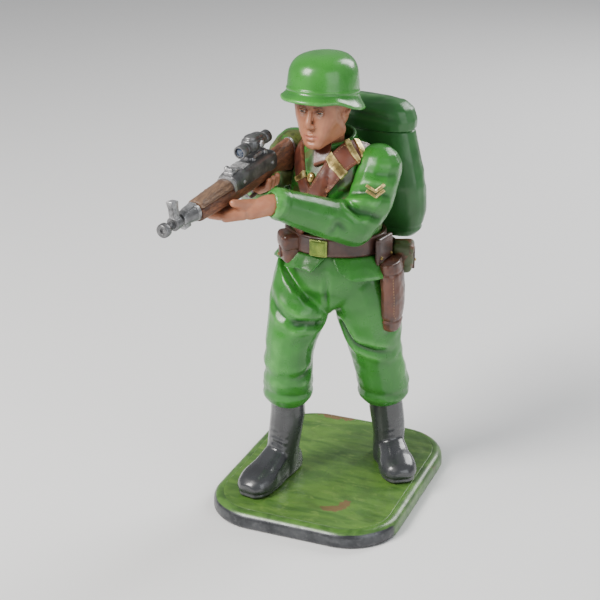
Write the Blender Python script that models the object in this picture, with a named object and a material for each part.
"""Posable soldier figure, one twelfth scale, on a display base.

Everything is written in millimetres and stored in metres. +Z is up, the figure faces -Y, and the origin is the
middle of the base's underside. The upper body is modelled in its own frame, an empty on the waist axis that is
turned a little to the figure's right, and the rifle in a frame of its own that lies along the barrel.
"""

import math

import bmesh
import bpy
from mathutils import Matrix, Vector

MM = 0.001
GAP = 0.32  # between pieces that touch on the real figure
CLEARANCE = 0.55  # between pieces that move past each other

# Base
BASE_WIDTH = 62.0
BASE_DEPTH = 76.5
BASE_HEIGHT = 5.3
BASE_CORNER = 17.0
RIM = 3.2
POCKET_DEPTH = 1.3
PEG_RADIUS = 1.7
PEG_LOW = 1.5
PEG_HIGH = 9.6
SOLE = BASE_HEIGHT + GAP

# Waist, shoulders and neck
WAIST = Vector((1.5, -2.0, 0.0))
TORSO_TURN = -10.0
BELT_LOW = 84.4
WAIST_PLANE = 90.8
SHOULDER_HEIGHT = 112.0
SHOULDER_FLAT = 10.2
NECK = Vector((0.0, -2.0, 114.2))
PIN_RADIUS = 1.6
ARM_SWEEP = (-5.0, 0.0, 5.0, 10.0)  # where the arms go, in degrees about the shoulder axis

# Rifle: the butt's place in the upper body's frame, and how far the muzzle points down
BUTT = Vector((-12.4, -6.5, 115.3))
RIFLE_PITCH = 7.4

ARM_SPHERE = (12, 7)


# ---------------------------------------------------------------- materials


def material(name, colour, roughness, metallic=0.0):
    made = bpy.data.materials.new(name)
    made.use_nodes = True
    shader = made.node_tree.nodes["Principled BSDF"]
    shader.inputs["Base Color"].default_value = (*colour, 1.0)
    shader.inputs["Roughness"].default_value = roughness
    shader.inputs["Metallic"].default_value = metallic
    return made


# ---------------------------------------------------------------- objects and Booleans


def finish(bm, name, finish_material=None, parent=None, smooth=40.0):
    """Turns a bmesh drawn in millimetres into an object in metres."""
    bmesh.ops.remove_doubles(bm, verts=bm.verts, dist=1e-4)
    bmesh.ops.recalc_face_normals(bm, faces=bm.faces)
    bm.transform(Matrix.Scale(MM, 4))
    mesh = bpy.data.meshes.new(name)
    bm.to_mesh(mesh)
    bm.free()
    made = bpy.data.objects.new(name, mesh)
    bpy.context.scene.collection.objects.link(made)
    made.parent = parent
    if finish_material:
        mesh.materials.append(finish_material)
    mesh.shade_smooth()
    mesh.set_sharp_from_angle(angle=math.radians(smooth))
    return made


def boolean(target, tool, operation, keep_tool=False):
    """Applies one exact Boolean to target, then removes the tool."""
    modifier = target.modifiers.new("boolean", "BOOLEAN")
    modifier.operation = operation
    modifier.object = tool
    bpy.context.view_layer.update()
    graph = bpy.context.evaluated_depsgraph_get()
    result = bpy.data.meshes.new_from_object(target.evaluated_get(graph))
    target.modifiers.remove(modifier)
    target.data = result
    if not keep_tool:
        bpy.data.objects.remove(tool)
    return target


def cut(target, *tools):
    for tool in tools:
        boolean(target, tool, "DIFFERENCE")
    return target


def join(target, *tools):
    for tool in tools:
        boolean(target, tool, "UNION")
    return target


def keep(target, *tools):
    for tool in tools:
        boolean(target, tool, "INTERSECT")
    return target


def swollen(source, gap=GAP):
    """A copy of source grown by gap on every face, to cut its neighbours with."""
    bm = bmesh.new()
    bm.from_mesh(source.data)
    bmesh.ops.remove_doubles(bm, verts=bm.verts, dist=0.02 * MM)
    bm.normal_update()
    moves = [vert.normal * gap * MM * min(vert.calc_shell_factor(), 1.6) for vert in bm.verts]
    for vert, move in zip(bm.verts, moves):
        vert.co += move
    bm.transform(Matrix.Scale(1 / MM, 4))
    grown = finish(bm, source.name + "_grown", parent=source.parent)
    grown.matrix_basis = source.matrix_basis.copy()
    return grown


def turned_about(source, point, axis, degrees):
    """Turns a tool about an axis given in its parent's frame, in millimetres."""
    centre = Vector(point) * MM
    turn = Matrix.Rotation(math.radians(degrees), 4, axis)
    source.matrix_basis = Matrix.Translation(centre) @ turn @ Matrix.Translation(-centre) @ source.matrix_basis
    return source


# ---------------------------------------------------------------- shapes


def close_ends(bm, first, last):
    bm.faces.new(list(reversed(first)))
    bm.faces.new(last)


def skin(bm, rings):
    """Joins rings of equal length into one closed tube."""
    for low, high in zip(rings, rings[1:]):
        count = len(low)
        for i in range(count):
            j = (i + 1) % count
            bm.faces.new((low[i], low[j], high[j], high[i]))
    close_ends(bm, rings[0], rings[-1])


def super_point(angle, wide, deep, square):
    """A point of a superellipse: square 2 is an ellipse, larger is boxier."""
    cos, sin = math.cos(angle), math.sin(angle)
    power = 2.0 / square
    return (
        wide * math.copysign(abs(cos) ** power, cos),
        deep * math.copysign(abs(sin) ** power, sin),
    )


def column(name, stations, finish_material=None, parent=None, sides=16, square=2.0, lean=None):
    """A body of level rings. A station is (x, y, z, half width, half depth). lean tips a ring: z rises by lean * -y."""
    bm = bmesh.new()
    rings = []
    for index, (x, y, z, wide, deep) in enumerate(stations):
        tip = lean[index] if lean else 0.0
        ring = []
        for k in range(sides):
            px, py = super_point(2 * math.pi * k / sides, wide, deep, square)
            ring.append(bm.verts.new((x + px, y + py, z - tip * py)))
        rings.append(ring)
    skin(bm, rings)
    return finish(bm, name, finish_material, parent)


def tube(name, stations, finish_material=None, parent=None, sides=14, square=2.0, side=(1, 0, 0)):
    """A body of rings across a path. A station is (x, y, z, radius along side, radius across it)."""
    centres = [Vector(station[:3]) for station in stations]
    bm = bmesh.new()
    rings = []
    for index, station in enumerate(stations):
        before = centres[max(index - 1, 0)]
        after = centres[min(index + 1, len(centres) - 1)]
        along = (after - before).normalized()
        across = (Vector(side) - along * along.dot(Vector(side))).normalized()
        third = along.cross(across)
        ring = []
        for k in range(sides):
            u, v = super_point(2 * math.pi * k / sides, station[3], station[4], square)
            ring.append(bm.verts.new(centres[index] + across * u + third * v))
        rings.append(ring)
    skin(bm, rings)
    return finish(bm, name, finish_material, parent)


def rod(name, start, end, radius, finish_material=None, parent=None, end_radius=None, sides=14):
    """A straight cylinder or cone."""
    start, end = Vector(start), Vector(end)
    bm = bmesh.new()
    bmesh.ops.create_cone(
        bm,
        cap_ends=True,
        segments=sides,
        radius1=radius,
        radius2=radius if end_radius is None else end_radius,
        depth=(end - start).length,
    )
    turn = (end - start).to_track_quat("Z", "Y").to_matrix().to_4x4()
    bm.transform(Matrix.Translation((start + end) / 2) @ turn)
    return finish(bm, name, finish_material, parent)


def block(name, low, high, finish_material=None, parent=None, bevel=0.0, segments=1, way=1):
    """A box between two corners. With way -1 it is turned half round about Z."""
    low, high = Vector(low), Vector(high)
    bm = bmesh.new()
    bmesh.ops.create_cube(bm, size=1.0)
    bm.transform(Matrix.Translation((low + high) / 2) @ Matrix.Diagonal((*(high - low), 1.0)))
    if way < 0:
        bm.transform(Matrix.Rotation(math.pi, 4, "Z"))
    if bevel:
        bmesh.ops.bevel(
            bm, geom=bm.edges[:], offset=bevel, segments=segments, affect="EDGES", profile=0.5
        )
    return finish(bm, name, finish_material, parent)


def ball_points(ball, sides, rows):
    """Points spread evenly over a ball given as (x, y, z, radius)."""
    centre, radius = Vector(ball[:3]), ball[3]
    points = [centre + Vector((0, 0, radius)), centre - Vector((0, 0, radius))]
    for row in range(1, rows):
        polar = math.pi * row / rows
        for k in range(sides):
            around = 2 * math.pi * k / sides
            flat = Vector((math.cos(around), math.sin(around), 0)) * math.sin(polar)
            points.append(centre + (flat + Vector((0, 0, math.cos(polar)))) * radius)
    return points


def limb(name, balls, finish_material=None, parent=None, sphere=ARM_SPHERE):
    """A union of hulls, each round two neighbouring balls. A ball is (x, y, z, radius)."""
    whole = None
    for pair in zip(balls, balls[1:]):
        bm = bmesh.new()
        for ball in pair:
            for point in ball_points(ball, *sphere):
                bm.verts.new(point)
        bmesh.ops.convex_hull(bm, input=bm.verts)
        bmesh.ops.delete(bm, geom=[v for v in bm.verts if not v.link_faces], context="VERTS")
        flat = math.radians(0.5)
        bmesh.ops.dissolve_limit(bm, angle_limit=flat, verts=bm.verts, edges=bm.edges)
        piece = finish(bm, name, finish_material, parent)
        whole = join(whole, piece) if whole else piece
    return whole


def rounded_plate(name, width, depth, low, high, corner, finish_material=None, bevel=0.0, steps=6):
    bm = bmesh.new()
    ring = []
    for cx, cy, start in ((1, 1, 0), (-1, 1, 90), (-1, -1, 180), (1, -1, 270)):
        for k in range(steps + 1):
            angle = math.radians(start + 90 * k / steps)
            x = cx * (width / 2 - corner) + corner * math.cos(angle)
            y = cy * (depth / 2 - corner) + corner * math.sin(angle)
            ring.append((x, y))
    levels = [(low, 0.0), (high - bevel, 0.0), (high - 0.3 * bevel, 0.3 * bevel), (high, bevel)]
    if not bevel:
        levels = [(low, 0.0), (high, 0.0)]
    rings = []
    for z, inset in levels:
        shrink_x = 1 - 2 * inset / width
        shrink_y = 1 - 2 * inset / depth
        rings.append([bm.verts.new((x * shrink_x, y * shrink_y, z)) for x, y in ring])
    skin(bm, rings)
    return finish(bm, name, finish_material)


ENVELOPES = {}


def remember(piece, gap=0.42):
    """Keeps a grown copy of a piece before anything is cut from it."""
    ENVELOPES[piece.name] = swollen(piece, gap)
    return piece


def clear_of(piece, *names):
    """Cuts a piece back so that it stays off the pieces named."""
    for name in names:
        boolean(piece, ENVELOPES[name], "DIFFERENCE", keep_tool=True)
    return piece


def half_space(name, point, normal, parent=None, size=200.0):
    """A large block whose one face passes through point, on the side that normal points to."""
    bm = bmesh.new()
    bmesh.ops.create_cube(bm, size=size)
    turn = Vector(normal).to_track_quat("Z", "Y").to_matrix().to_4x4()
    bm.transform(Matrix.Translation(Vector(point)) @ turn @ Matrix.Translation((0, 0, size / 2)))
    return finish(bm, name, parent=parent)


# ---------------------------------------------------------------- base


def make_base(paint, ground, steel):
    pockets = (BASE_WIDTH - 2 * RIM, BASE_DEPTH - 2 * RIM)
    pocket_floor = BASE_HEIGHT - POCKET_DEPTH
    plate = rounded_plate(
        "base_plate", BASE_WIDTH, BASE_DEPTH, 0, BASE_HEIGHT, BASE_CORNER, paint, bevel=1.1
    )
    cut(plate, rounded_plate("pocket", *pockets, pocket_floor, 9, BASE_CORNER - RIM))
    insert = rounded_plate(
        "ground_insert",
        pockets[0] - 2 * GAP,
        pockets[1] - 2 * GAP,
        pocket_floor + GAP,
        BASE_HEIGHT,
        BASE_CORNER - RIM - GAP,
        ground,
    )
    for side, (x, y) in PEGS.items():
        cut(plate, rod("hole", (x, y, PEG_LOW - GAP), (x, y, 9), PEG_RADIUS + GAP))
        cut(insert, rod("hole", (x, y, 0), (x, y, 9), PEG_RADIUS + GAP))
        rod("foot_peg_" + side, (x, y, PEG_LOW), (x, y, PEG_HIGH), PEG_RADIUS, steel)


# ---------------------------------------------------------------- boots and legs

# Heel's back edge, the way the toe points, and how long the foot is against FOOT
FEET = {
    "right": (Vector((-12.6, -0.8, 0)), -9.5, 1.10),
    "left": (Vector((11.8, 19.2, 0)), 32.0, 0.97),
}
PEGS = {"right": (-13.6, -8.0), "left": (14.9, 13.6)}
# Along the foot: distance from the heel, half width, height over the sole
FOOT = (
    (0.0, 2.7, 4.6),
    (1.6, 4.1, 7.6),
    (5.0, 4.6, 10.5),
    (10.0, 4.6, 11.5),
    (14.0, 5.0, 9.6),
    (18.0, 5.5, 7.6),
    (21.5, 5.4, 6.5),
    (24.2, 4.4, 5.6),
    (25.8, 2.5, 4.2),
)
SHAFTS = {
    "right": (
        (-13.9, -8.8, SOLE + 0.6, 4.5, 6.2),
        (-13.8, -8.6, 10, 4.8, 6.4),
        (-13.5, -8.2, 15, 5.0, 6.0),
        (-12.9, -7.7, 21, 5.3, 5.7),
        (-12.3, -7.2, 27, 5.5, 5.6),
        (-12.0, -8.0, 36.8, 5.0, 5.2),
    ),
    "left": (
        (15.1, 13.0, SOLE + 0.6, 4.5, 6.2),
        (15.3, 13.0, 10, 4.8, 6.4),
        (15.6, 12.8, 15, 5.0, 6.0),
        (15.3, 12.2, 20, 5.3, 5.7),
        (14.8, 11.5, 25, 5.5, 5.6),
        (14.4, 10.0, 34.0, 5.0, 5.2),
    ),
}
LEGS = {
    "right": (
        (-11.8, -8.4, 33.6, 6.1, 6.3),
        (-11.6, -8.8, 35.1, 7.4, 7.6),
        (-11.1, -9.8, 38.2, 7.8, 8.1),
        (-10.6, -10.8, 41, 7.4, 7.9),
        (-10.2, -11.9, 46, 7.1, 7.7),
        (-9.9, -12.2, 51, 7.2, 8.0),
        (-9.2, -11.5, 56, 7.6, 8.5),
        (-8.3, -9.8, 61.5, 8.6, 9.3),
        (-7.6, -7.5, 67, 9.5, 10.2),
        (-7.0, -5.0, 72.5, 9.8, 10.9),
        (-6.6, -3.4, 78.5, 9.2, 10.4),
    ),
    "left": (
        (14.8, 10.4, 30.3, 6.1, 6.3),
        (14.7, 10.0, 32.0, 7.6, 7.8),
        (14.6, 8.9, 34.6, 8.3, 8.3),
        (14.5, 7.8, 37, 8.0, 8.2),
        (14.0, 6.2, 42, 7.6, 7.9),
        (13.4, 4.8, 47, 7.6, 8.0),
        (13.0, 3.6, 52, 8.2, 8.5),
        (12.6, 2.2, 57.5, 9.0, 9.2),
        (12.0, 0.8, 63.5, 9.8, 10.2),
        (11.0, -0.6, 70, 10.2, 10.9),
        (9.4, -1.6, 77.5, 9.2, 10.4),
    ),
}
CROTCH = Vector((2.4, -2.0, 64.5))
HIP_SLOPE = 0.92
PELVIS = (
    (2.4, -1.8, 63.0, 3.0, 6.0),
    (2.2, -2.0, 67.0, 9.0, 9.6),
    (2.0, -2.2, 73.0, 15.0, 11.6),
    (1.8, -2.0, 78.0, 16.2, 12.0),
    (1.5, -2.0, BELT_LOW, 14.6, 11.4),
)
WAIST_HALF = (14.6, 11.4)


def make_boot(side, leather):
    heel, toe_out, stretch = FEET[side]
    turn = Matrix.Rotation(math.radians(toe_out), 4, "Z")
    bm = bmesh.new()
    rings = []
    for along, half, height in FOOT:
        ring = []
        for k in range(14):
            x, z = super_point(2 * math.pi * k / 14, half, 0.66 * height, 2.6)
            z = max(SOLE + 0.34 * height + z, SOLE)
            ring.append(bm.verts.new(heel + turn @ Vector((x, -along * stretch, z))))
        rings.append(ring)
    skin(bm, rings)
    boot = finish(bm, side + "_boot", leather)
    shaft = column("shaft", SHAFTS[side])
    ENVELOPES["shaft_" + side] = swollen(shaft)
    join(boot, shaft)
    x, y = PEGS[side]
    cut(boot, rod("hole", (x, y, 0), (x, y, PEG_HIGH + GAP), PEG_RADIUS + GAP))
    return boot


def hip_plane(side, offset):
    """Point and upward normal of the plane where a leg meets the pelvis, moved by offset along the normal."""
    outward = -1 if side == "right" else 1
    normal = Vector((-outward * HIP_SLOPE, 0, 1)).normalized()
    return CROTCH + normal * offset, normal


def make_lower_body(cloth, leather, steel):
    pelvis = remember(column("pelvis", PELVIS, cloth, sides=18, square=2.2))
    for side in ("right", "left"):
        make_boot(side, leather)
        leg = remember(tube(side + "_leg", LEGS[side], cloth, sides=16, square=2.1))
        point, normal = hip_plane(side, -GAP / 2)
        cut(leg, half_space("hip", point, normal))
        clear_of(leg, "shaft_" + side)
        point, normal = hip_plane(side, GAP / 2)
        cut(pelvis, half_space("hip", point, -normal))
        middle = Vector((-7.0 if side == "right" else 10.6, -2.6, 71.6))
        for piece in (leg, pelvis):
            ends = (middle - normal * (6.5 + GAP), middle + normal * (5.5 + GAP))
            cut(piece, rod("hole", *ends, 1.6 + GAP))
        rod("hip_pin_" + side, middle - normal * 6.5, middle + normal * 5.5, 1.6, steel)
    return pelvis


# What is cut away under the skirt's hem and between its two front flaps: across, up
SKIRT_FRONT = (
    (3.2, 85.2),
    (2.5, 84.2),
    (-0.2, 80.7),
    (-5.0, 80.9),
    (-11.0, 79.9),
    (-14.5, 78.9),
    (-14.5, 74.0),
    (13.0, 74.0),
    (13.0, 78.8),
    (10.6, 79.4),
    (7.4, 81.4),
    (5.5, 83.8),
    (5.0, 85.2),
)


def make_skirt_and_belt(cloth, leather, brass):
    """The tunic's skirt and the belt, both rings that sit round the pelvis."""
    skirt = column(
        "tunic_skirt",
        (
            (1.6, -2.4, 79.0, 17.9, 14.8),
            (1.6, -2.3, 81.4, 17.2, 13.9),
            (1.5, -2.0, BELT_LOW, 15.9, 12.6),
        ),
        cloth,
        sides=24,
        square=2.2,
    )
    remember(skirt)
    clear_of(skirt, "pelvis", "right_leg", "left_leg")
    bm = bmesh.new()
    front = [bm.verts.new((x, -30, z)) for x, z in SKIRT_FRONT]
    back = [bm.verts.new((x, -8, z)) for x, z in SKIRT_FRONT]
    skin(bm, [front, back])
    cut(skirt, finish(bm, "vent"))

    low, high = BELT_LOW + GAP, WAIST_PLANE - GAP
    x, y, wide, deep = (*WAIST.xy, *WAIST_HALF)
    edge = 1.3
    belt = column(
        "belt", [(x, y, z, wide + edge, deep + edge) for z in (low, high)], leather, sides=28
    )
    remember(belt)
    cut(belt, column("inside", [(x, y, z, wide, deep) for z in (70, 99)], sides=28))
    column(
        "waist_core", [(x, y, z, wide - GAP, deep - GAP) for z in (low, high)], cloth, sides=28
    )
    front = y - deep - edge
    block(
        "belt_buckle",
        (x - 1.7, front - 1.3, low + 0.4),
        (x + 2.9, front - GAP, high - 0.4),
        brass,
        bevel=0.35,
    )


def hung_box(name, angle, reach, low, high, wide, thick, finish_material, bevel, segments=2):
    """A pouch on the belt. angle is its direction from the waist axis, reach the distance of its inner face."""
    made = block(
        name,
        (-wide / 2, -reach - thick, low),
        (wide / 2, -reach, high),
        finish_material,
        bevel=bevel,
        segments=segments,
    )
    turn = Matrix.Rotation(math.radians(angle), 4, "Z")
    made.data.transform(Matrix.Translation(WAIST * MM) @ turn)
    return made


def make_kit(leather, canvas):
    """What hangs on the belt: a pouch, a scabbard in its frog, a bread bag and a canteen."""
    scabbard = tube(
        "scabbard",
        (
            (20.0, -2.0, 60.0, 1.4, 1.8),
            (20.3, -2.6, 61.2, 2.6, 3.6),
            (20.9, -3.6, 66, 3.0, 4.8),
            (21.2, -4.2, 72, 3.1, 5.4),
            (20.9, -4.6, 78, 3.0, 5.3),
            (20.4, -4.8, 82.6, 2.8, 5.0),
        ),
        leather,
        sides=14,
        square=2.3,
    )
    kit = [
        scabbard,
        hung_box("scabbard_frog", 80, 16.2, 82.0, 90.3, 8.6, 1.5, leather, 0.4, segments=1),
        hung_box("ammo_pouch", -52, 11.6, 80.2, 90.3, 8.6, 6.2, leather, 2.3),
        hung_box("bread_bag", 132, 12.0, 74.5, 84.3, 9.0, 7.0, leather, 1.3),
        hung_box("canteen", 106, 17.6, 76.6, 86.2, 7.4, 6.4, canvas, 2.0),
    ]
    for index, piece in enumerate(kit):
        remember(piece)
        fixed = ("belt", "tunic_skirt", "pelvis", "right_leg", "left_leg")
        clear_of(piece, *fixed, *(other.name for other in kit[:index]))


# ---------------------------------------------------------------- upper body

TORSO = (
    (0, 0, WAIST_PLANE, 14.3, 11.2),
    (0, -0.2, 94.5, 14.4, 11.8),
    (0, -0.5, 100, 13.4, 12.3),
    (0, -0.8, 105, 12.4, 12.4),
    (0, -0.7, 109.5, 11.8, 11.6),
    (0, -0.5, 113, 11.0, 10.2),
    (0, -0.4, 115.9, 9.8, 8.8),
    (0, -0.8, 117.6, 7.4, 7.0),
)
TORSO_SIDES = 22
SCREW_X = 7.5
SCREW_HEIGHT = 101.5
TORSO_SQUARE = 2.35


def torso_shape(upper, grow=0.0):
    shape = column("torso_shape", TORSO, None, upper, sides=TORSO_SIDES, square=TORSO_SQUARE)
    if not grow:
        return shape
    grown = swollen(shape, grow)
    bpy.data.objects.remove(shape)
    return grown


def torso_half(name, upper, way, cloth):
    """One shell of the torso, with its share of the sockets and bores."""
    half = torso_shape(upper)
    half.name = name
    half.data.materials.append(cloth)
    cut(half, block("other", (-30, -GAP / 2, 80), (30, 40, 130), parent=upper, way=way))
    for side in (-1, 1):
        cut(half, block("flat", (SHOULDER_FLAT, -20, 103), (30, 20, 125), parent=upper, way=side))
        ends = ((side * 5.5, 0, SHOULDER_HEIGHT), (side * 30, 0, SHOULDER_HEIGHT))
        cut(half, rod("bore", *ends, PIN_RADIUS + GAP, parent=upper))
    cut(half, rod("stem", (0, 0, 80), (0, 0, 98.6), 2.7 + GAP, parent=upper))
    cut(half, rod("head", (0, 0, 95.2), (0, 0, 98.6), 4.2 + GAP, parent=upper))
    x, y, z = NECK
    cut(half, limb("socket", ((x, y, z, 3.0), (x, y, z + 5, 3.6)), parent=upper))
    cut(half, rod("pack_bore", (0, 4.5, 104.5), (0, 30, 104.5), 2.2 + GAP, parent=upper))
    for x in (-SCREW_X, SCREW_X):
        bore = ((x, -6.0, SCREW_HEIGHT), (x, 20, SCREW_HEIGHT))
        sink = ((x, 8.0, SCREW_HEIGHT), (x, 20, SCREW_HEIGHT))
        cut(half, rod("bore", *bore, 1.0 + GAP, parent=upper, sides=10))
        cut(half, rod("sink", *sink, 2.0 + GAP, parent=upper, sides=10))


def make_torso(upper, cloth, steel):
    """The front and back shells, split on the plane of the shoulder pins, and their screws."""
    torso_half("torso_front", upper, 1, cloth)
    torso_half("torso_back", upper, -1, cloth)
    for side, x in (("right", -SCREW_X), ("left", SCREW_X)):
        ends = ((x, -5.6, SCREW_HEIGHT), (x, 9.0, SCREW_HEIGHT))
        screw = rod("torso_screw_" + side, *ends, 1.0, steel, upper, sides=10)
        ends = ((x, 8.3, SCREW_HEIGHT), (x, 9.8, SCREW_HEIGHT))
        join(screw, rod("screw_head", *ends, 2.0, parent=upper, sides=10))


def make_waist_pin(steel):
    pin = rod("waist_pin", (*WAIST.xy, 75), (*WAIST.xy, 97.5), 2.7, steel)
    join(pin, rod("head", (*WAIST.xy, 95.6), (*WAIST.xy, 98.2), 4.2))
    for name in ("pelvis", "waist_core"):
        cut(bpy.data.objects[name], rod("bore", (*WAIST.xy, 74.6), (*WAIST.xy, 99), 2.7 + GAP))


def patch(name, upper, line, wide, span, inner, outer, finish_material):
    """A piece that lies on the torso's front, between two distances from it.

    line is two (x, z) points of its middle line, and span is where it starts and ends along that line.
    """
    made = torso_shape(upper, outer)
    made.name = name
    made.data.materials.append(finish_material)
    start = Vector((line[0][0], 0, line[0][1]))
    along = (Vector((line[1][0], 0, line[1][1])) - start).normalized()
    across = along.cross(Vector((0, 1, 0)))
    for way in (-1, 1):
        cut(made, half_space("edge", start + across * way * wide / 2, across * way, upper))
    cut(made, half_space("end", start + along * span[0], -along, upper))
    cut(made, half_space("end", start + along * span[1], along, upper))
    cut(made, block("behind", (-40, 0, 80), (40, 40, 111), parent=upper))
    cut(made, block("behind", (-40, 9, 80), (40, 40, 140), parent=upper))
    cut(made, torso_shape(upper, inner))
    return made


STRAP = 1.1
LEFT_LINE = ((-8.5, 92), (9.0, 117))
RIGHT_LINE = ((7.0, 92), (-8.8, 117))


def make_harness(upper, cloth, leather, brass):
    """Two shoulder straps with their keepers, the badge and the collar."""
    lift = GAP + STRAP
    left = patch("strap_left", upper, LEFT_LINE, 5.4, (1.5, 40), GAP, lift, leather)
    right = patch("strap_right", upper, RIGHT_LINE, 3.4, (1.5, 40), GAP, lift, leather)
    for strap in (left, right):
        for side in (-1, 1):
            low = (SHOULDER_FLAT, -40, 102.5)
            cut(strap, block("flat", low, (30, 40, 130), parent=upper, way=side))
        cut(strap, block("under", (-40, -40, 60), (40, 40, WAIST_PLANE + 1.2), parent=upper))
    remember(left, GAP)
    (x0, z0), (x1, z1) = LEFT_LINE
    cut(right, half_space("past", (x0, 0, z0), (z1 - z0, 0, x0 - x1), upper))
    clear_of(right, "strap_left")
    remember(right, GAP)
    collar = column(
        "collar",
        (
            (0, -1.8, 114.5, 8.2, 7.6),
            (0, -2.0, 118.0, 7.4, 7.0),
            (0, -2.2, 119.8, 7.0, 6.6),
        ),
        cloth,
        upper,
        sides=18,
        lean=(-0.12, -0.20, -0.25),
    )
    rings = ((0, -1.8, 110, 6.2, 6.2), (0, -2.0, 124, 6.2, 6.2))
    cut(collar, column("inside", rings, parent=upper, sides=18))
    cut(collar, torso_shape(upper, GAP))
    low, high = lift + GAP, lift + GAP + 0.7
    patch("keeper_left_upper", upper, LEFT_LINE, 6.6, (24.0, 25.6), low, high, brass)
    patch("keeper_left_lower", upper, LEFT_LINE, 6.6, (16.0, 17.6), low, high, brass)
    patch("keeper_right", upper, RIGHT_LINE, 4.6, (19.0, 20.4), low, high, brass)
    badge = patch("chest_badge", upper, ((-2.9, 90), (-2.9, 120)), 3.4, (15.0, 18.0), GAP, GAP + 0.8, brass)
    for piece in (badge, collar):
        clear_of(piece, "strap_left", "strap_right")


# ---------------------------------------------------------------- pack

PACK = (
    (0, 19.4, 84.8, 16.4, 4.2),
    (0, 19.5, 87.0, 18.8, 5.4),
    (0, 19.2, 93.0, 20.2, 5.8),
    (0, 18.6, 101.0, 20.0, 6.6),
    (0, 18.4, 110.0, 18.0, 6.4),
    (0, 18.2, 118.4, 15.8, 6.0),
)
PACK_FLAP = (
    (0, 18.2, 118.4 + GAP, 16.4, 6.8),
    (0, 18.2, 121.5, 16.4, 7.2),
    (0, 18.2, 124.8, 15.2, 6.8),
    (0, 18.2, 126.6, 12.8, 5.2),
    (0, 18.2, 127.4, 9.4, 3.0),
)


def make_pack(upper, cloth):
    pack = column("backpack", PACK, cloth, upper, sides=20, square=3.0)
    flap = column("pack_flap", PACK_FLAP, cloth, upper, sides=20, square=2.8)
    for piece in (pack, flap):
        cut(piece, torso_shape(upper, STRAP + 2 * GAP))
    join(pack, rod("post", (0, 5.5, 104.5), (0, 16, 104.5), 2.2, parent=upper))
    return pack, flap


# ---------------------------------------------------------------- head and helmet

NECK_COLUMN = (
    (0, -2.9, 118.0, 3.7, 3.9),
    (0, -3.4, 121.5 - GAP, 4.1, 4.5),
)
HEAD = (
    (0, -4.6, 121.5, 5.0, 7.0),
    (0, -6.2, 123.4, 6.6, 8.4),
    (0, -6.4, 127.0, 7.4, 8.8),
    (-0.2, -6.3, 132.0, 7.6, 8.9),
    (-0.4, -6.4, 137.0, 7.0, 8.4),
    (-0.4, -6.5, 141.0, 4.8, 6.2),
    (-0.4, -6.5, 142.4, 2.4, 3.2),
)
JAW = (
    (0, -12.4, 117.6, 1.6, 1.3),
    (0, -12.2, 118.2, 2.7, 2.2),
    (0, -11.6, 119.5, 3.9, 3.2),
    (0, -10.2, 121.6, 5.0, 4.6),
    (0, -9.2, 123.6, 5.8, 5.7),
    (0, -8.4, 126.0, 6.2, 6.2),
)
HELMET = (
    (-0.6, -7.0, 130.2, 11.4, 13.6),
    (-0.6, -7.0, 131.2, 11.2, 13.3),
    (-0.6, -6.9, 132.8, 10.6, 12.3),
    (-0.6, -6.8, 134.6, 10.3, 11.8),
    (-0.6, -6.7, 138.4, 10.0, 11.4),
    (-0.6, -6.6, 141.8, 9.1, 10.5),
    (-0.6, -6.6, 144.0, 7.3, 8.4),
    (-0.6, -6.6, 145.2, 4.4, 5.1),
)
HELMET_LEAN = (0.19, 0.19, 0.16, 0.11, 0.05, 0.02, 0.0, 0.0)
SHELL = 1.15


def make_head(upper, flesh, cloth, steel):
    x, y, z = NECK
    post = limb("neck_post", ((x, y, z, 2.6), (x, y, z + 2.5, 2.0), (x, y, 127, 2.0)), steel, upper)
    head = column("head", HEAD, flesh, upper, sides=16)
    join(head, column("jaw", JAW, parent=upper, sides=16))
    nose = tube(
        "nose",
        ((0, -14.2, 129.8, 0.8, 0.8), (0, -15.8, 126.4, 1.1, 1.1), (0, -15.2, 124.8, 1.3, 1.0)),
        parent=upper,
        sides=8,
    )
    join(head, nose)
    remember(head, GAP)
    neck = clear_of(column("neck", NECK_COLUMN, flesh, upper, sides=16), "head")
    for piece in (head, neck):
        cut(piece, limb("bore", ((x, y, z + 1.5, 2.6), (x, y, 127.3, 2.6)), parent=upper))
    helmet = column("helmet", HELMET, cloth, upper, sides=22, lean=HELMET_LEAN)
    inner = [
        (x, y, z - (SHELL if index else 6), wide - SHELL, deep - SHELL)
        for index, (x, y, z, wide, deep) in enumerate(HELMET)
    ]
    inner[0] = (*inner[0][:2], 124.0, 9.6, 11.8)
    cut(helmet, column("hollow", inner, parent=upper, sides=22, lean=HELMET_LEAN))
    return post, head, helmet


# ---------------------------------------------------------------- arms and rifle

LEFT_ARM = (
    (14.6, 0, 111.6, 6.8),
    (14.4, -5.5, 102.5, 7.0),
    (12.9, -11.5, 96.4, 6.2),
    (6.0, -24, 102.2, 5.3),
    (0.8, -33.4, 106.9, 4.3),
)
RIGHT_ARM = (
    (-14.6, 0, 112.2, 6.8),
    (-17.5, -5.5, 105, 6.4),
    (-20.2, -11.8, 100, 5.4),
    (-14.6, -18.6, 105.6, 4.4),
)
LEFT_HAND = (
    (-0.4, -35.2, 107.1, 3.3),
    (-5.2, -41.4, 106.6, 2.7),
    (-10.4, -45.2, 105.5, 2.0),
    (-15.2, -47.2, 107.2, 1.9),
)
LEFT_THUMB = ((-5.0, -40.6, 108.2, 1.7), (-7.6, -45.4, 110.6, 1.3))
RIGHT_HAND = ((-13.9, -19.6, 106.6, 3.0), (-12.6, -23.0, 109.6, 4.0), (-12.6, -25.4, 110.4, 3.6))

CHEVRON = Vector((15.2, -5.0, 105.5))

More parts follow.
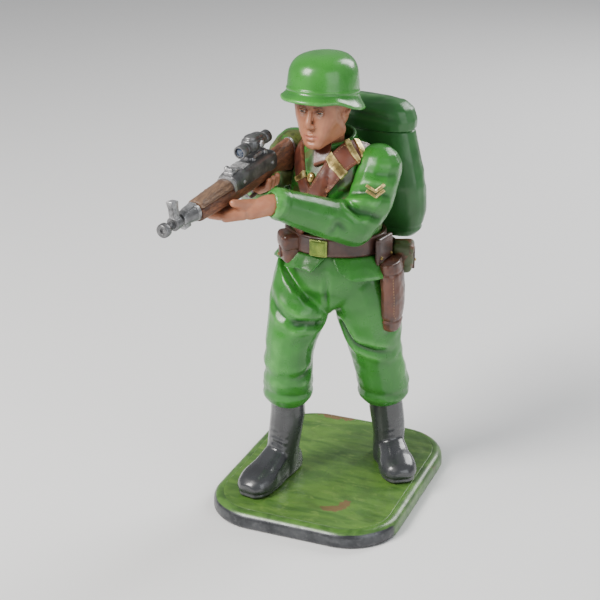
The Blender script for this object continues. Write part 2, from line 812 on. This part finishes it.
# The rifle's own frame: x across, -y towards the muzzle, z up; the barrel lies on y
STOCK = (
    (0, -0.2, -2.2, 2.2, 5.2),
    (0, -3.5, -1.8, 2.3, 4.6),
    (0, -8.5, -1.2, 2.3, 3.6),
    (0, -12.0, -1.2, 2.8, 3.0),
    (0, -20.0, -1.5, 3.5, 2.7),
    (0, -30.0, -1.7, 3.6, 2.5),
    (0, -40.0, -1.4, 3.3, 2.4),
    (0, -49.0, -1.2, 2.9, 2.2),
)
RECEIVER = (
    (0, -10.6, 0.6, 2.2, 1.9),
    (0, -12.0, 0.8, 3.1, 2.9),
    (0, -20.0, 0.8, 3.6, 3.4),
    (0, -28.0, 0.8, 3.6, 3.3),
    (0, -33.0, 0.7, 3.2, 2.8),
)
HANDGUARD = (
    (0, -34.0, 0.4, 3.1, 2.7),
    (0, -42.0, 0.3, 3.1, 2.6),
    (0, -49.0, 0.2, 2.7, 2.3),
)
BARREL_RADIUS = 1.2
SCOPE_HEIGHT = 7.8


def make_rifle(rifle, wood, iron, glass):
    def grown_barrel(start, end, grow=GAP):
        return rod("bore", (0, start, 0), (0, end, 0), BARREL_RADIUS + grow, parent=rifle)

    barrel = rod("barrel", (0, -28.5, 0), (0, -62.6, 0), BARREL_RADIUS, iron, rifle)
    join(barrel, rod("muzzle", (0, -62.2, 0), (0, -64.4, 0), 2.0, parent=rifle))
    cut(barrel, rod("muzzle_bore", (0, -62, 0), (0, -70, 0), 0.8, parent=rifle))

    receiver = tube("receiver", RECEIVER, iron, rifle, sides=16, square=3.4)
    remember(receiver, GAP)
    cut(receiver, grown_barrel(-28.0, -40))
    stock = tube("rifle_stock", STOCK, wood, rifle, sides=16, square=2.6)
    ENVELOPES["stock"] = swollen(stock, GAP)
    clear_of(stock, "receiver")
    cut(stock, block("split", (-9, -60, 0.5), (9, -32, 9), parent=rifle))
    cut(stock, grown_barrel(-26, -60))
    handguard = tube("handguard", HANDGUARD, wood, rifle, sides=16, square=2.2)
    remember(handguard, GAP)
    cut(handguard, block("split", (-9, -60, -9), (9, -30, 0.5 + GAP), parent=rifle))
    cut(handguard, grown_barrel(-26, -60))

    cap = tube(
        "nose_cap",
        (
            (0, -49.0 - GAP, -0.4, 2.6, 2.5),
            (0, -51.0, -0.3, 2.45, 2.35),
            (0, -54.5, -0.1, 2.0, 2.0),
            (0, -56.0, 0, 1.85, 1.85),
        ),
        iron,
        rifle,
        sides=16,
    )
    cut(cap, grown_barrel(-40, -60))
    sight = rod("front_sight", (0, -57.0, 0), (0, -59.6, 0), 2.0, iron, rifle)
    join(sight, block("post", (-1.0, -59.5, 1.4), (1.0, -57.3, 6.8), parent=rifle, bevel=0.25))
    cut(sight, grown_barrel(-50, -60))

    scope = rod("scope", (0, -12, SCOPE_HEIGHT), (0, -25.5, SCOPE_HEIGHT), 1.5, iron, rifle)
    join(scope, limb("turret", ((0, -16.5, SCOPE_HEIGHT + 0.4, 2.6), (0, -20.0, SCOPE_HEIGHT + 0.6, 2.9)), parent=rifle))
    join(scope, rod("eyepiece", (0, -11.6, SCOPE_HEIGHT), (0, -13.6, SCOPE_HEIGHT), 1.9, parent=rifle))
    join(scope, rod("objective", (0, -23.4, SCOPE_HEIGHT), (0, -26.0, SCOPE_HEIGHT), 1.9, parent=rifle))
    turret_bottom = SCOPE_HEIGHT + 0.6 - 2.9
    mount = block(
        "scope_mount", (-1.1, -22.6, 3.0), (1.1, -14.0, turret_bottom - GAP), iron, rifle
    )
    clear_of(mount, "receiver")
    seat = ((0, -25.2, SCOPE_HEIGHT), (0, -30, SCOPE_HEIGHT))
    cut(scope, rod("lens_seat", *seat, 1.1 + GAP, parent=rifle))
    return stock


def make_chevron(arm, upper, brass):
    """A rank chevron that lies on the front of the left sleeve."""
    bm = bmesh.new()
    corners = ((-2.1, -1.6), (-1.1, -1.6), (0, 0.4), (1.1, -1.6), (2.1, -1.6), (0, 1.9))
    front = [bm.verts.new((x, -9, z)) for x, z in corners]
    back = [bm.verts.new((x, 0, z)) for x, z in corners]
    skin(bm, [front, back])
    bm.transform(Matrix.Translation(CHEVRON) @ Matrix.Rotation(math.radians(35), 4, "Z"))
    chevron = finish(bm, "sleeve_chevron", brass, upper)
    outer = swollen(arm, GAP + 0.5)
    keep(chevron, outer)
    cut(chevron, swollen(arm, GAP))


def make_arms(upper, rifle, cloth, flesh, steel, brass):
    keepout = torso_shape(upper, CLEARANCE + STRAP + GAP)
    for side in (-1, 1):
        low = (SHOULDER_FLAT + CLEARANCE, -30, 103)
        cut(keepout, block("flat", low, (40, 30, 130), parent=upper, way=side))
    for side, balls, hand_balls in (("right", RIGHT_ARM, RIGHT_HAND), ("left", LEFT_ARM, LEFT_HAND)):
        sign = -1 if side == "right" else 1
        arm = limb(side + "_arm", balls, cloth, upper)
        for degrees in ARM_SWEEP:
            tool = keepout.copy()
            tool.data = keepout.data.copy()
            bpy.context.scene.collection.objects.link(tool)
            turned_about(tool, (0, 0, SHOULDER_HEIGHT), "X", degrees)
            cut(arm, tool)
        hand = limb(side + "_hand", hand_balls, flesh, upper, sphere=(10, 6))
        if side == "left":
            join(hand, limb("thumb", LEFT_THUMB, parent=upper, sphere=(8, 5)))
        ENVELOPES[side + "_hand"] = swollen(hand, GAP)
        clear_of(arm, side + "_hand", "stock", "receiver")
        clear_of(hand, "stock", "receiver", "handguard")
        if side == "left":
            make_chevron(arm, upper, brass)
        ends = ((sign * 6.0, 0, SHOULDER_HEIGHT), (sign * 16.5, 0, SHOULDER_HEIGHT))
        cut(arm, rod("hole", ends[0], (sign * (16.5 + GAP), 0, SHOULDER_HEIGHT), PIN_RADIUS + GAP, parent=upper))
        rod("shoulder_pin_" + side, *ends, PIN_RADIUS, steel, upper)
    bpy.data.objects.remove(keepout)


def build():
    for old in list(bpy.data.objects):
        bpy.data.objects.remove(old)
    cloth = material("uniform_green", (0.10, 0.36, 0.07), 0.35)
    flesh = material("skin", (0.62, 0.30, 0.17), 0.45)
    boots = material("boot_black", (0.03, 0.03, 0.035), 0.25)
    leather = material("leather_brown", (0.22, 0.08, 0.05), 0.4)
    wood = material("stock_wood", (0.25, 0.11, 0.05), 0.45)
    iron = material("gun_metal", (0.16, 0.16, 0.17), 0.4, 1.0)
    brass = material("brass", (0.60, 0.50, 0.16), 0.35, 1.0)
    steel = material("pin_steel", (0.55, 0.55, 0.57), 0.35, 1.0)
    paint = material("base_grey", (0.06, 0.065, 0.07), 0.35, 0.6)
    ground = material("ground_green", (0.13, 0.25, 0.05), 0.6)
    canvas = material("canteen_canvas", (0.16, 0.18, 0.08), 0.5)
    upper = bpy.data.objects.new("upper_body", None)
    bpy.context.scene.collection.objects.link(upper)
    upper.location = WAIST * MM
    upper.rotation_euler = (0, 0, math.radians(TORSO_TURN))
    rifle = bpy.data.objects.new("rifle_line", None)
    bpy.context.scene.collection.objects.link(rifle)
    rifle.parent = upper
    rifle.location = BUTT * MM
    rifle.rotation_euler = (math.radians(RIFLE_PITCH), 0, 0)
    make_base(paint, ground, steel)
    make_lower_body(cloth, boots, steel)
    make_skirt_and_belt(cloth, leather, brass)
    make_kit(leather, canvas)
    make_torso(upper, cloth, steel)
    make_waist_pin(steel)
    make_harness(upper, cloth, leather, brass)
    make_pack(upper, cloth)
    make_head(upper, flesh, cloth, steel)
    make_rifle(rifle, wood, iron, brass)
    make_arms(upper, rifle, cloth, flesh, steel, brass)
    for tool in ENVELOPES.values():
        bpy.data.objects.remove(tool)


build()
